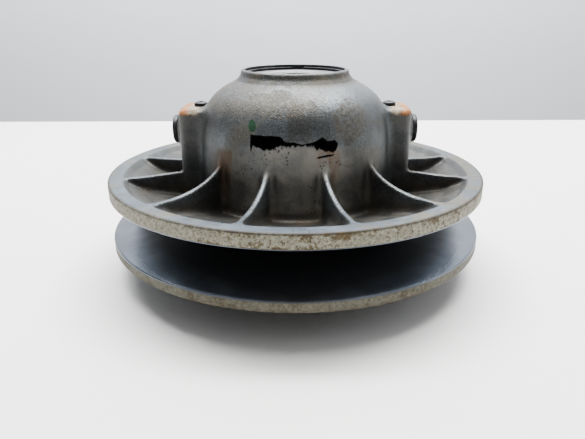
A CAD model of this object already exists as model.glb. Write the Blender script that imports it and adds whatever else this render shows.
import math

import bmesh
import bpy
import numpy as np
from mathutils import Matrix, Vector


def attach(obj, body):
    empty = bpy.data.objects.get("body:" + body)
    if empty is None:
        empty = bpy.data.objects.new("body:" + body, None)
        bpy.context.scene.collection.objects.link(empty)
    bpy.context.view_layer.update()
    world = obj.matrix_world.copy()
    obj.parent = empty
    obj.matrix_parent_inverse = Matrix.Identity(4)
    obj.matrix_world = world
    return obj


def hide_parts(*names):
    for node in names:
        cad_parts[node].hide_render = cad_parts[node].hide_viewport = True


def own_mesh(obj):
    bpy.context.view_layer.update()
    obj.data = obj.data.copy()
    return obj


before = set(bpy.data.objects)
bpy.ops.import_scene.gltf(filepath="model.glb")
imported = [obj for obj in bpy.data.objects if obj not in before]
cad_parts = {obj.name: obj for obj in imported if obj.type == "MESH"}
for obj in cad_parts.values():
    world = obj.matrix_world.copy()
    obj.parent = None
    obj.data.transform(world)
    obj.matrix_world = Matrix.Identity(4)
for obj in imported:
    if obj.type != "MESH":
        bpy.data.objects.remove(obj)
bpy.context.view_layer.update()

MM = 0.001

# ------------------------------------------------------------------ camera
cam_data = bpy.data.cameras.new("camera")
cam_data.sensor_width = 36.0
cam_data.lens = 540.0 / 585.0 * 36.0
cam_data.clip_start = 0.01
cam_data.clip_end = 50.0
camera = bpy.data.objects.new("camera", cam_data)
bpy.context.scene.collection.objects.link(camera)
right = Vector((0.99999, -0.00084, -0.00322)).normalized()
fwd = Vector((-0.00035, 0.93503, -0.35458)).normalized()
up = right.cross(fwd).normalized()
right = fwd.cross(up).normalized()
rot = Matrix((right, up, -fwd)).transposed()
camera.matrix_world = Matrix.Translation((-0.00173, -0.35126, 0.15844)) @ rot.to_4x4()
bpy.context.scene.camera = camera

# -------------------------------------------------------------- dimensions
R = 120.0
TAN = math.tan(math.radians(13.0))
RIM_TOP, RIM_LOW = 63.6, 54.6
FIX_TOP, FIX_LOW = 27.8, 21.3
LUG_R, LUG_HALF, LUG_TOP = 75.0, 17.5, 103.8
PIN_Z = 89.1
RIB_T = 4.4


def belt_low(r):
    return RIM_LOW - (R - r) * TAN


def belt_high(r):
    return FIX_TOP + (R - r) * TAN


def pocket_floor(r):
    return belt_low(r) + 5.0


# ------------------------------------------------- distance-field modelling
def smooth_path(points, step=0.35):
    """Monotone cubic through (r, z) points, sampled about every step."""
    p = np.asarray(points, float)
    seg = np.hypot(*(p[1:] - p[:-1]).T)
    t = np.concatenate([[0], np.cumsum(seg)])
    m = np.zeros_like(p)
    d = (p[1:] - p[:-1]) / seg[:, None]
    m[0], m[-1] = d[0], d[-1]
    for i in range(1, len(p) - 1):
        w0, w1 = seg[i], seg[i - 1]
        m[i] = (w0 * d[i - 1] + w1 * d[i]) / (w0 + w1)
    out = []
    for i in range(len(p) - 1):
        n = max(2, int(seg[i] / step))
        for k in range(n):
            u = k / n
            h = seg[i]
            a = 2 * u ** 3 - 3 * u ** 2 + 1
            b = u ** 3 - 2 * u ** 2 + u
            c = -2 * u ** 3 + 3 * u ** 2
            e = u ** 3 - u ** 2
            out.append(a * p[i] + b * h * m[i] + c * p[i + 1] + e * h * m[i + 1])
    out.append(p[-1])
    return np.array(out)


def fillet_path(points):
    """Polyline of (r, z, fillet radius) with each corner rounded by an arc."""
    pts = [np.array(q[:2], float) for q in points]
    rad = [q[2] if len(q) > 2 else 0.0 for q in points]
    out = [pts[0]]
    for i in range(1, len(pts) - 1):
        a, b, c, r = pts[i - 1], pts[i], pts[i + 1], rad[i]
        if r <= 0:
            out.append(b)
            continue
        u = (a - b) / np.linalg.norm(a - b)
        v = (c - b) / np.linalg.norm(c - b)
        ang = math.acos(max(-1.0, min(1.0, float(u @ v))))
        if ang > math.pi - 0.02:
            out.append(b)
            continue
        d = min(r / math.tan(ang / 2), 0.49 * np.linalg.norm(a - b), 0.49 * np.linalg.norm(c - b))
        r = d * math.tan(ang / 2)
        centre = b + (u + v) / np.linalg.norm(u + v) * (r / math.sin(ang / 2))
        p0, p1 = b + u * d, b + v * d
        a0 = math.atan2(*(p0 - centre)[::-1])
        a1 = math.atan2(*(p1 - centre)[::-1])
        da = (a1 - a0 + math.pi) % math.tau - math.pi
        n = max(3, int(abs(da) / 0.2))
        for k in range(n + 1):
            t = a0 + da * k / n
            out.append(centre + r * np.array([math.cos(t), math.sin(t)]))
    out.append(pts[-1])
    return out


class Field2D:
    """Signed distance to a closed (r, z) outline, held on a fine grid."""

    def __init__(self, outline, lo, hi, h=0.25):
        self.lo, self.h = np.array(lo, float), h
        nr, nz = [int((hi[i] - lo[i]) / h) + 2 for i in (0, 1)]
        r = lo[0] + h * np.arange(nr)
        z = lo[1] + h * np.arange(nz)
        P, Q = np.meshgrid(r, z, indexing="ij")
        P, Q = P.ravel(), Q.ravel()
        poly = np.asarray(outline, float)
        best = np.full(P.shape, 1e9)
        inside = np.zeros(P.shape, bool)
        for i in range(len(poly)):
            a, b = poly[i], poly[(i + 1) % len(poly)]
            e = b - a
            L2 = float(e @ e)
            if L2 < 1e-12:
                continue
            wx, wy = P - a[0], Q - a[1]
            t = np.clip((wx * e[0] + wy * e[1]) / L2, 0, 1)
            best = np.minimum(best, (wx - e[0] * t) ** 2 + (wy - e[1] * t) ** 2)
            if a[1] != b[1]:
                cross = (a[1] > Q) != (b[1] > Q)
                xi = a[0] + (Q - a[1]) * e[0] / e[1]
                inside ^= cross & (P < xi)
        d = np.sqrt(best)
        d[inside] *= -1
        self.g = d.reshape(nr, nz)
        self.n = (nr, nz)

    def __call__(self, r, z):
        u = np.clip((r - self.lo[0]) / self.h, 0, self.n[0] - 1.001)
        v = np.clip((z - self.lo[1]) / self.h, 0, self.n[1] - 1.001)
        i, j = u.astype(np.int32), v.astype(np.int32)
        u, v = u - i, v - j
        g = self.g
        return (g[i, j] * (1 - u) * (1 - v) + g[i + 1, j] * u * (1 - v)
                + g[i, j + 1] * (1 - u) * v + g[i + 1, j + 1] * u * v)


def round_union(a, b, r):
    """Union with a circular fillet of radius r where the two meet."""
    u, v = np.maximum(r - a, 0), np.maximum(r - b, 0)
    return np.maximum(r, np.minimum(a, b)) - np.sqrt(u * u + v * v)


def round_inter(a, b, r):
    """Intersection with a rounded edge of radius r."""
    u, v = np.maximum(r + a, 0), np.maximum(r + b, 0)
    return np.minimum(-r, np.maximum(a, b)) + np.sqrt(u * u + v * v)


def smoothstep(x):
    x = np.clip(x, 0, 1)
    return x * x * (3 - 2 * x)


def nets(field, rl, pl, zl, keep=None, relax=2):
    """Quad mesh of field = 0 on a cylindrical grid; the angle is periodic.

    Gives vertices in mm, quads, and the ring number of each vertex along r."""
    nr, npn, nz = len(rl), len(pl), len(zl)
    Rg, Pg, Zg = np.meshgrid(rl, pl, zl, indexing="ij")
    F = field(Rg * np.cos(Pg), Rg * np.sin(Pg), Zg).astype(np.float32)
    S = F < 0
    # vertex of each mixed cell: mean of its edge crossings, in index space
    cs = (nr - 1, npn, nz - 1)
    acc = np.zeros(cs + (3,), np.float32)
    cnt = np.zeros(cs, np.float32)

    def wrap(A, dj):
        return np.roll(A, -dj, axis=1) if dj else A

    for axis in range(3):
        for d0 in (0, 1):
            for d1 in (0, 1):
                off = [0, 0, 0]
                others = [k for k in range(3) if k != axis]
                off[others[0]], off[others[1]] = d0, d1
                end = list(off)
                end[axis] = 1

                def take(A, o):
                    B = wrap(A, o[1])
                    return B[o[0]:o[0] + nr - 1, :, o[2]:o[2] + nz - 1]
                a, b = take(F, off), take(F, end)
                m = (a < 0) != (b < 0)
                t = np.where(m, a / np.where(m, a - b, 1), 0)
                for k in range(3):
                    acc[..., k] += np.where(m, off[k] + (t if k == axis else 0), 0)
                cnt += m
    cell = cnt > 0
    ids = np.full(cs, -1, np.int64)
    ii, jj, kk = np.nonzero(cell)
    ids[ii, jj, kk] = np.arange(len(ii))
    loc = acc[ii, jj, kk] / cnt[ii, jj, kk][:, None]
    dr = np.diff(rl)
    dz = np.diff(zl)
    pw = np.append(pl, pl[0] + math.tau)
    dp = np.diff(pw)
    vr = rl[ii] + dr[ii] * loc[:, 0]
    vp = pw[jj] + dp[jj] * loc[:, 1]
    vz = zl[kk] + dz[kk] * loc[:, 2]
    quads = []
    # edges along r
    m = S[:-1] != S[1:]
    i, j, k = np.nonzero(m[:, :, 1:-1])
    k = k + 1
    flip = S[i, j, k]
    q = np.stack([ids[i, j - 1, k - 1], ids[i, j, k - 1], ids[i, j, k], ids[i, j - 1, k]], 1)
    q[~flip] = q[~flip][:, ::-1]
    quads.append(q)
    # edges along the angle
    m = S != np.roll(S, -1, axis=1)
    i, j, k = np.nonzero(m[1:-1, :, 1:-1])
    i, k = i + 1, k + 1
    flip = S[i, j, k]
    q = np.stack([ids[i - 1, j, k - 1], ids[i - 1, j, k], ids[i, j, k], ids[i, j, k - 1]], 1)
    q[~flip] = q[~flip][:, ::-1]
    quads.append(q)
    # edges along z
    m = S[:, :, :-1] != S[:, :, 1:]
    i, j, k = np.nonzero(m[1:-1, :, :])
    i = i + 1
    flip = S[i, j, k]
    q = np.stack([ids[i - 1, j - 1, k], ids[i, j - 1, k], ids[i, j, k], ids[i - 1, j, k]], 1)
    q[~flip] = q[~flip][:, ::-1]
    quads.append(q)
    Q = np.concatenate(quads)
    V = np.stack([vr * np.cos(vp), vr * np.sin(vp), vz], 1)
    edge_ring = (ii == 0) | (ii == nr - 2)

    def project(V, n, free=None):
        for _ in range(n):
            f, g = value_grad(field, V)
            g2 = np.maximum((g * g).sum(1), 0.2)
            step = -(f / g2)[:, None] * g
            ln = np.linalg.norm(step, axis=1)
            step *= np.minimum(1, 0.5 / np.maximum(ln, 1e-9))[:, None]
            V = V + step
        return V

    V = project(V, 2)
    # even out the mesh along the surface, then put it back on it
    e = np.concatenate([Q[:, [0, 1]], Q[:, [1, 2]], Q[:, [2, 3]], Q[:, [3, 0]]])
    deg = np.bincount(e[:, 0], minlength=len(V)) + np.bincount(e[:, 1], minlength=len(V))
    for _ in range(relax):
        s = np.zeros_like(V)
        for c in range(3):
            s[:, c] = (np.bincount(e[:, 0], V[e[:, 1], c], len(V)) + np.bincount(e[:, 1], V[e[:, 0], c], len(V)))
        mean = s / np.maximum(deg, 1)[:, None]
        W = V + 0.5 * (mean - V)
        W[edge_ring] = V[edge_ring]
        V = project(W, 2)
    return V, Q, ii, jj


def value_grad(field, V, h=0.06):
    x, y, z = V.T
    f = field(x, y, z)
    g = np.stack([field(x + h, y, z) - field(x - h, y, z),
                  field(x, y + h, z) - field(x, y - h, z),
                  field(x, y, z + h) - field(x, y, z - h)], 1) / (2 * h)
    return f, g


def mesh_object(name, V, faces, body=None, smooth=True, sharp=None):
    """Object from vertices in mm and a list of face index arrays."""
    me = bpy.data.meshes.new(name)
    V = np.asarray(V, np.float64) * MM
    if isinstance(faces, np.ndarray):
        faces = [faces]
    loops = np.concatenate([f.ravel() for f in faces]).astype(np.int32)
    sizes = np.concatenate([np.full(len(f), f.shape[1], np.int32) for f in faces])
    starts = np.concatenate([[0], np.cumsum(sizes)[:-1]]).astype(np.int32)
    me.vertices.add(len(V))
    me.vertices.foreach_set("co", V.astype(np.float32).ravel())
    me.loops.add(len(loops))
    me.loops.foreach_set("vertex_index", loops)
    me.polygons.add(len(sizes))
    me.polygons.foreach_set("loop_start", starts)
    me.update(calc_edges=True)
    me.validate()
    if smooth:
        me.shade_smooth()
        if sharp:
            me.set_sharp_from_angle(angle=math.radians(sharp))
    ob = bpy.data.objects.new(name, me)
    bpy.context.scene.collection.objects.link(ob)
    return ob


def lathe_rows(rows, angles):
    """Vertices for rings of (r, z) at the given angles."""
    c, s = np.cos(angles), np.sin(angles)
    return np.concatenate([np.stack([r * c, r * s, np.full_like(c, z)], 1) for r, z in rows])


def ring_quads(first, second, n):
    a = np.arange(n)
    b = (a + 1) % n
    return np.stack([first + a, first + b, second + b, second + a], 1)


def lathe(name, profile, n=128, body=None, sharp=30.0):
    """Turned closed solid from a closed outline of (r, z[, fillet])."""
    prof = round_outline(profile)
    ang = np.arange(n) * math.tau / n
    V = lathe_rows(prof, ang)
    F = [ring_quads(i * n, ((i + 1) % len(prof)) * n, n) for i in range(len(prof))]
    ob = mesh_object(name, V, np.concatenate(F), sharp=sharp)
    orient(ob)
    return ob


def round_outline(profile):
    """Round the corners of a closed outline given as (r, z[, fillet])."""
    n = len(profile)
    out = []
    for i in range(n):
        tri = fillet_path([profile[i - 1], profile[i], profile[(i + 1) % n]])
        out += [tuple(p) for p in tri[1:-1]]
    return out


def orient(ob):
    bm = bmesh.new()
    bm.from_mesh(ob.data)
    bmesh.ops.recalc_face_normals(bm, faces=bm.faces)
    bm.to_mesh(ob.data)
    bm.free()
    ob.data.update()


# ------------------------------------------------ sliding sheave and its dome
dome_path = smooth_path([(62.3, 54.0), (61.9, 60.0), (61.4, 72.0), (61.0, 81.5), (60.3, 90.0),
                         (58.9, 97.5), (57.0, 103.0), (53.9, 108.4), (49.4, 113.0), (44.2, 116.6),
                         (39.8, 119.0)])
DOME_TOP_OUTLINE = fillet_path(
    [(132.0, RIM_TOP), (111.2, RIM_TOP, 0.9), (107.6, 59.8, 4.5), (97.0, pocket_floor(97.0), 12.0),
     (63.0, pocket_floor(63.0) + 0.2, 5.5), tuple(dome_path[0])])
DOME_TOP_OUTLINE = [tuple(p) for p in DOME_TOP_OUTLINE[:-1]] + [tuple(p) for p in dome_path[:-6]]
DOME_TOP_OUTLINE += [tuple(p) for p in fillet_path(
    [tuple(dome_path[-7]), (36.9, 120.5, 1.8), (34.5, 123.2, 3.0), (33.6, 126.7, 1.5), (20.0, 126.7)])]
DOME_TOP_OUTLINE += [(10.0, 126.7), (10.0, 20.0), (132.0, 20.0)]
dome_field = Field2D(DOME_TOP_OUTLINE, (24.0, 36.0), (126.0, 132.0))

SWEPT = [math.radians(a) for a in (15, 45, 135, 165, 195, 225, 315, 345)]


def rib_top(r):
    u = np.clip((100.0 - r) / 41.5, 0.0, 0.9985)
    return RIM_TOP + 23.0 * (1.0 - np.sqrt(1.0 - u * u))


def sheave_top(x, y, z):
    r = np.sqrt(x * x + y * y)
    body = dome_field(r, z)
    # ribs that sweep up the dome; azimuth measured from -Y
    ribs = np.full_like(r, 1e3)
    for a in SWEPT:
        s = x * math.sin(a) - y * math.cos(a)
        t = x * math.cos(a) + y * math.sin(a)
        half = RIB_T / 2 - 0.6 + 0.030 * np.clip(rib_top(s) - z, 0, 24)
        side = np.abs(t) - half
        u = np.clip((100.0 - s) / 41.5, 0.0, 0.985)
        slope = 23.0 / 41.5 * u / np.sqrt(1.0 - u * u)
        top = (z - rib_top(s)) / np.sqrt(1.0 + slope * slope)
        d = round_inter(side, top, 1.2)
        d = np.where(s > 20, d, 1e3)
        ribs = np.minimum(ribs, d)
    # flat ribs beside the lugs
    flat = np.full_like(r, 1e3)
    ax, ay = np.abs(x), np.abs(y)
    dx, dy = 40.0, 13.8
    L = math.hypot(dx, dy)
    nx, ny = -dy / L, dx / L
    t = (ax - 66.0) * nx + (ay - 13.4) * ny
    half = RIB_T / 2 - 0.5 + 0.030 * np.clip(RIM_TOP - z, 0, 20)
    flat = round_inter(np.abs(t) - half, z - RIM_TOP - 0.02 - 1.0 * smoothstep((100 - r) / 30), 1.2)
    rf = 2.6 + 1.2 * smoothstep((70.0 - z) / 8.0)
    d = round_union(body, np.minimum(ribs, 1e3), rf)
    # no fillet stands above the ribs' crests or the turned rim
    clear = 0.05 + 9.0 * smoothstep((84.0 - r) / 20.0)
    cap = (z - rib_top(r) - clear) * 0.8
    d = np.minimum(body, np.where(r > 57.0, np.maximum(d, cap), d))
    # lugs
    draft = 0.012 * np.clip(LUG_TOP - z, 0, 60)
    out = r - LUG_R + 1.2 - draft * 0.3
    side = ay - LUG_HALF - draft
    lug = round_inter(round_inter(out, side, 4.0), z - LUG_TOP, 3.6)
    boss = np.sqrt(ay * ay + (z - PIN_Z) ** 2) - 11.0
    boss = round_inter(boss, ax - LUG_R, 0.5)
    lug = round_union(lug, boss, 1.2)
    lug = np.where(ax > 40, lug, 1e3)
    d2 = round_union(flat, np.maximum(lug, -8.0), 2.2)
    d = round_union(d, d2, 2.6 + 1.4 * smoothstep((z - 66.0) / 12.0))
    d = np.where((z < RIM_TOP + 3) & (r > 101.0), np.maximum(d, z - RIM_TOP), d)
    # spot face for the lock screw and the pin's bore
    px = ax - 60.5
    spot = np.maximum(np.sqrt(px * px + y * y) - 5.5, LUG_TOP + 0.02 - z)
    d = round_inter(d, -spot, 0.3)
    return d


def graded(stops):
    """Grid lines from (start, step) pairs up to the last stop."""
    out = []
    for (a, h), (b, _) in zip(stops, stops[1:]):
        n = max(1, int(round((b - a) / h)))
        out += [a + (b - a) * i / n for i in range(n)]
    out.append(stops[-1][0])
    return np.array(out)


def rib_angles(centres, dense, step, coarse, total=math.tau):
    """Angles round the axis with finer steps near each rib centre."""
    n = 7200
    a = np.arange(n) * math.tau / n
    w = np.full(n, 1.0 / coarse)
    for c in centres:
        d = np.abs((a - c + math.pi) % math.tau - math.pi)
        w = np.maximum(w, 1.0 / (step + (coarse - step) * smoothstep((d - dense) / dense)))
    cum = np.cumsum(w)
    m = int(round(cum[-1] * math.tau / n))
    pos = (np.arange(m) + 0.5) * cum[-1] / m
    return np.interp(pos, cum, a)


D = math.radians
centres = [a - math.pi / 2 for a in SWEPT] + [D(14.0), D(-14.0), D(166.0), D(194.0)]
top_angles = rib_angles(centres, D(2.6), D(0.62), D(1.75))
rl = graded([(31.62, 0.9), (40.0, 1.5), (56.0, 0.95), (66.0, 1.6), (104.0, 0.95), (113.0, 1.6), (116.2, 1)])
zl = graded([(44.13, 1.3), (60.1, 0.9), (67.2, 1.3), (98.0, 1.05), (107.0, 1.2), (118.0, 0.85), (127.6, 1)])


def close_with_rows(V, Q, ii, jj, nr, outer_rows):
    """Join the outer and inner rings of a net with turned rows between them."""
    n = jj.max() + 1

    def ring(which):
        ids = np.nonzero(ii == which)[0]
        ids = ids[np.argsort(jj[ids])]
        if len(ids) != n:
            raise RuntimeError("ring %d has %d of %d" % (which, len(ids), n))
        return ids
    a, b = ring(nr - 2), ring(0)
    ang = np.arctan2(V[a, 1], V[a, 0])
    rows = lathe_rows(outer_rows, ang)
    base = len(V)
    V = np.concatenate([V, rows])
    first = [a] + [base + k * n + np.arange(n) for k in range(len(outer_rows))] + [b]
    F = [Q]
    for p, q in zip(first, first[1:]):
        F.append(np.stack([p, np.roll(p, -1), np.roll(q, -1), q], 1))
    return V, np.concatenate(F)


V, Q, ii, jj = nets(sheave_top, rl, top_angles, zl)
n_top = len(V)
rest = fillet_path(
    [(115.5, RIM_TOP), (R, RIM_TOP, 1.0), (R, RIM_LOW + 0.1, 1.0), (62.0, 41.2, 1.5), (17.1, 41.2, 0.5),
     (17.1, 86.0, 0.4), (21.3, 86.0, 0.6), (21.3, 48.0, 2.0), (53.5, 48.0, 4.0), (55.4, 60.0, 2.0),
     (55.2, 81.5, 4.0), (54.0, 97.0, 8.0), (51.2, 104.4, 8.0), (46.2, 109.6, 6.0), (38.6, 116.2, 2.0),
     (28.5, 116.2, 0.3), (28.5, 119.0, 0.3), (31.5, 119.0, 0.2), (31.5, 123.8, 0.15), (32.6, 123.8, 0.15),
     (32.6, 125.4, 0.15), (31.5, 125.4, 0.15), (31.5, 126.7, 0.35), (31.9, 126.7)])[1:-1]
out_rows = []
for p, q in zip(rest, rest[1:]):
    out_rows.append(tuple(p))
    gap = float(np.linalg.norm(np.array(q) - p))
    if p[0] > 119.5 and q[0] > 119.5 and gap > 2:
        for k in range(1, 5):
            out_rows.append(tuple(p + (q - p) * k / 5))
out_rows.append(tuple(rest[-1]))
V, F = close_with_rows(V, Q, ii, jj, len(rl), out_rows)
sheave = mesh_object("sliding_sheave_casting", V, F, sharp=42.0)
orient(sheave)
print("sliding sheave", len(V), len(F))


def add_attr(ob, name, values):
    at = ob.data.attributes.new(name, "FLOAT", "POINT")
    at.data.foreach_set("value", np.asarray(values, np.float32))


def cavity_of(field, V, N, reach=(2.0, 5.0, 11.0)):
    """How enclosed each point is: 0 in the open, towards 1 in a deep corner."""
    c = np.zeros(len(V))
    for h, w in zip(reach, (0.3, 0.35, 0.35)):
        P = V + N * h
        f = field(P[:, 0], P[:, 1], P[:, 2])
        c += w * np.clip(1.0 - f / h, 0, 1)
    return c


def convex_of(field, V, N, h=1.6):
    P = V - N * h
    f = field(P[:, 0], P[:, 1], P[:, 2])
    return np.clip((f + h) / h * 1.6, 0, 1)


def normals_of(ob):
    n = np.empty(len(ob.data.vertices) * 3, np.float32)
    ob.data.vertices.foreach_get("normal", n)
    return n.reshape(-1, 3).astype(float)


N = normals_of(sheave)
cav = np.zeros(len(V))
cav[:n_top] = cavity_of(sheave_top, V[:n_top], N[:n_top])
conv = np.zeros(len(V))
conv[:n_top] = convex_of(sheave_top, V[:n_top], N[:n_top])
add_attr(sheave, "cavity", cav)
add_attr(sheave, "convex", conv)

# -------------------------------------------------------------- fixed sheave
UNDER_OUTLINE = fillet_path(
    [(132.0, FIX_LOW), (110.8, FIX_LOW, 0.8), (106.8, belt_high(106.8) - 6.5, 3.5), (66.0, belt_high(66.0) - 6.6, 12.0),
     (48.0, 31.0, 6.0), (43.2, 22.0, 6.0), (37.9, 0.6, 0.5), (37.0, 0.0), (20.0, 0.0)])
UNDER_OUTLINE = [tuple(p) for p in UNDER_OUTLINE] + [(10.0, 0.0), (10.0, 60.0), (132.0, 60.0)]
under_field = Field2D(UNDER_OUTLINE, (24.0, -6.0), (126.0, 46.0))


def sheave_under(x, y, z):
    r = np.sqrt(x * x + y * y)
    d = under_field(r, z)
    rib = np.full_like(r, 1e3)
    for k in range(12):
        a = D(30 * k + 15)
        s = x * math.cos(a) + y * math.sin(a)
        t = -x * math.sin(a) + y * math.cos(a)
        edge = 8.0 + (s - 40.5) / 68.0 * 13.4
        low = (edge - z) * 0.98
        half = RIB_T / 2 - 0.1 + 0.012 * np.clip(z - edge, 0, 20)
        e = round_inter(np.abs(t) - half, low, 1.3)
        rib = np.minimum(rib, np.where(s > 20, e, 1e3))
    d = round_union(d, rib, 3.4)
    return np.where(r > 100, np.maximum(d, FIX_LOW - z), d)


u_centres = [D(30 * k + 15) for k in range(12)]
u_angles = rib_angles(u_centres, D(2.6), D(0.6), D(1.6))
url = graded([(32.1, 1.0), (50.0, 1.6), (104.0, 1.0), (113.0, 1.6), (116.2, 1)])
uzl = graded([(-1.1, 0.9), (9.0, 1.2), (24.1, 1.2), (42.3, 1)])
V2, Q2, i2, j2 = nets(sheave_under, url, u_angles, uzl, relax=2)
n_und = len(V2)
rest2 = fillet_path(
    [(115.5, FIX_LOW), (R, FIX_LOW, 0.9), (R, FIX_TOP, 1.0), (64.6, 40.6, 3.0), (14.8, 40.6, 0.5), (14.8, 13.5, 0.2),
     (30.3, 13.5, 0.4), (30.3, 0.7, 0.1), (31.0, 0.0, 0.1), (32.4, 0.0)])[1:-1]
rows2 = []
for p, q in zip(rest2, rest2[1:]):
    rows2.append(tuple(p))
    gap = float(np.linalg.norm(np.array(q) - p))
    if p[0] > 119.5 and q[0] > 119.5 and gap > 2:
        for k in range(1, 4):
            rows2.append(tuple(p + (q - p) * k / 4))
    if p[0] > 100 and q[0] < 70:
        for k in range(1, 6):
            rows2.append(tuple(p + (q - p) * k / 6))
rows2.append(tuple(rest2[-1]))
V2, F2 = close_with_rows(V2, Q2, i2, j2, len(url), rows2)
fixed = mesh_object("fixed_sheave_casting", V2, F2, sharp=42.0)
orient(fixed)
N2 = normals_of(fixed)
cav2 = np.zeros(len(V2))
cav2[:n_und] = cavity_of(sheave_under, V2[:n_und], N2[:n_und])
conv2 = np.zeros(len(V2))
conv2[:n_und] = convex_of(sheave_under, V2[:n_und], N2[:n_und])
add_attr(fixed, "cavity", cav2)
add_attr(fixed, "convex", conv2)
print("fixed sheave", len(V2), len(F2))


# ---------------------------------------------------------------- materials
class Mat:
    """Small helper to build a node material."""

    def __init__(self, name):
        self.m = bpy.data.materials.new(name)
        self.m.use_nodes = True
        self.nt = self.m.node_tree
        self.nt.nodes.clear()
        self.out = self.nt.nodes.new("ShaderNodeOutputMaterial")
        self.b = self.nt.nodes.new("ShaderNodeBsdfPrincipled")
        self.nt.links.new(self.b.outputs[0], self.out.inputs[0])
        tc = self.nt.nodes.new("ShaderNodeTexCoord")
        self.obj = tc.outputs["Object"]
        sp = self.nt.nodes.new("ShaderNodeSeparateXYZ")
        self.nt.links.new(self.obj, sp.inputs[0])
        self.x, self.y, self.z = sp.outputs
        self.bump_h = None

    def put(self, socket, value):
        if isinstance(value, bpy.types.NodeSocket):
            self.nt.links.new(value, socket)
        elif isinstance(value, (tuple, list)) and len(value) == 3 and socket.type == "RGBA":
            socket.default_value = (*value, 1.0)
        else:
            socket.default_value = value

    def math(self, op, a, b=None, c=None, clamp=False):
        n = self.nt.nodes.new("ShaderNodeMath")
        n.operation = op
        n.use_clamp = clamp
        self.put(n.inputs[0], a)
        if b is not None:
            self.put(n.inputs[1], b)
        if c is not None:
            self.put(n.inputs[2], c)
        return n.outputs[0]

    def mul(self, *v):
        out = v[0]
        for w in v[1:]:
            out = self.math("MULTIPLY", out, w)
        return out

    def add(self, *v):
        out = v[0]
        for w in v[1:]:
            out = self.math("ADD", out, w)
        return out

    def step(self, v, lo, hi):
        """0 below lo, 1 above hi, smooth between; lo may be the larger."""
        n = self.nt.nodes.new("ShaderNodeMapRange")
        n.interpolation_type = "SMOOTHSTEP"
        if lo <= hi:
            a, b, c, d = lo, hi, 0.0, 1.0
        else:
            a, b, c, d = hi, lo, 1.0, 0.0
        self.put(n.inputs["Value"], v)
        n.inputs["From Min"].default_value = a
        n.inputs["From Max"].default_value = b
        n.inputs["To Min"].default_value = c
        n.inputs["To Max"].default_value = d
        return n.outputs[0]

    def lerp(self, v, lo, hi):
        n = self.nt.nodes.new("ShaderNodeMapRange")
        self.put(n.inputs["Value"], v)
        n.inputs["To Min"].default_value = lo
        n.inputs["To Max"].default_value = hi
        return n.outputs[0]

    def mix(self, fac, a, b):
        n = self.nt.nodes.new("ShaderNodeMix")
        n.data_type = "RGBA"
        self.put(n.inputs[0], fac)
        self.put(n.inputs[6], a)
        self.put(n.inputs[7], b)
        return n.outputs[2]

    def fmix(self, fac, a, b):
        n = self.nt.nodes.new("ShaderNodeMix")
        self.put(n.inputs[0], fac)
        self.put(n.inputs[2], a)
        self.put(n.inputs[3], b)
        return n.outputs[0]

    def warp(self, sx=1.0, sy=1.0, sz=1.0, off=(0, 0, 0)):
        n = self.nt.nodes.new("ShaderNodeMapping")
        self.nt.links.new(self.obj, n.inputs[0])
        n.inputs["Scale"].default_value = (sx, sy, sz)
        n.inputs["Location"].default_value = off
        return n.outputs[0]

    def noise(self, scale, detail=4.0, rough=0.55, vec=None, dist=0.0):
        n = self.nt.nodes.new("ShaderNodeTexNoise")
        self.nt.links.new(vec or self.obj, n.inputs["Vector"])
        n.inputs["Scale"].default_value = scale
        n.inputs["Detail"].default_value = detail
        n.inputs["Roughness"].default_value = rough
        n.inputs["Distortion"].default_value = dist
        return n.outputs[0]

    def cells(self, scale, vec=None, feature="F1", rnd=1.0):
        n = self.nt.nodes.new("ShaderNodeTexVoronoi")
        n.feature = feature
        self.nt.links.new(vec or self.obj, n.inputs["Vector"])
        n.inputs["Scale"].default_value = scale
        n.inputs["Randomness"].default_value = rnd
        return n.outputs["Distance"], n.outputs.get("Color")

    def attr(self, name):
        n = self.nt.nodes.new("ShaderNodeAttribute")
        n.attribute_name = name
        return n.outputs["Fac"]

    def radius(self):
        return self.math("SQRT", self.add(self.mul(self.x, self.x), self.mul(self.y, self.y)))

    def band(self, v, lo, hi, soft):
        return self.mul(self.step(v, lo - soft, lo + soft), self.step(v, hi + soft, hi - soft))

    def curve(self, v, points):
        """Value through a curve given as (0..1, 0..1) points."""
        n = self.nt.nodes.new("ShaderNodeFloatCurve")
        c = n.mapping.curves[0]
        while len(c.points) > 2:
            c.points.remove(c.points[1])
        c.points[0].location = points[0]
        c.points[-1].location = points[-1]
        for p in points[1:-1]:
            c.points.new(*p)
        for p in c.points:
            p.handle_type = "VECTOR"
        n.mapping.update()
        self.put(n.inputs["Value"], v)
        return n.outputs[0]

    def end(self, colour, rough, metal, height=None, dist=0.0003, strength=1.0, spec=0.5, coat=0.0):
        self.put(self.b.inputs["Base Color"], colour)
        self.put(self.b.inputs["Roughness"], rough)
        self.put(self.b.inputs["Metallic"], metal)
        self.b.inputs["Specular IOR Level"].default_value = spec
        self.b.inputs["Coat Weight"].default_value = coat
        if height is not None:
            n = self.nt.nodes.new("ShaderNodeBump")
            n.inputs["Strength"].default_value = strength
            n.inputs["Distance"].default_value = dist
            self.nt.links.new(height, n.inputs["Height"])
            self.nt.links.new(n.outputs[0], self.b.inputs["Normal"])
        return self.m


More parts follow.
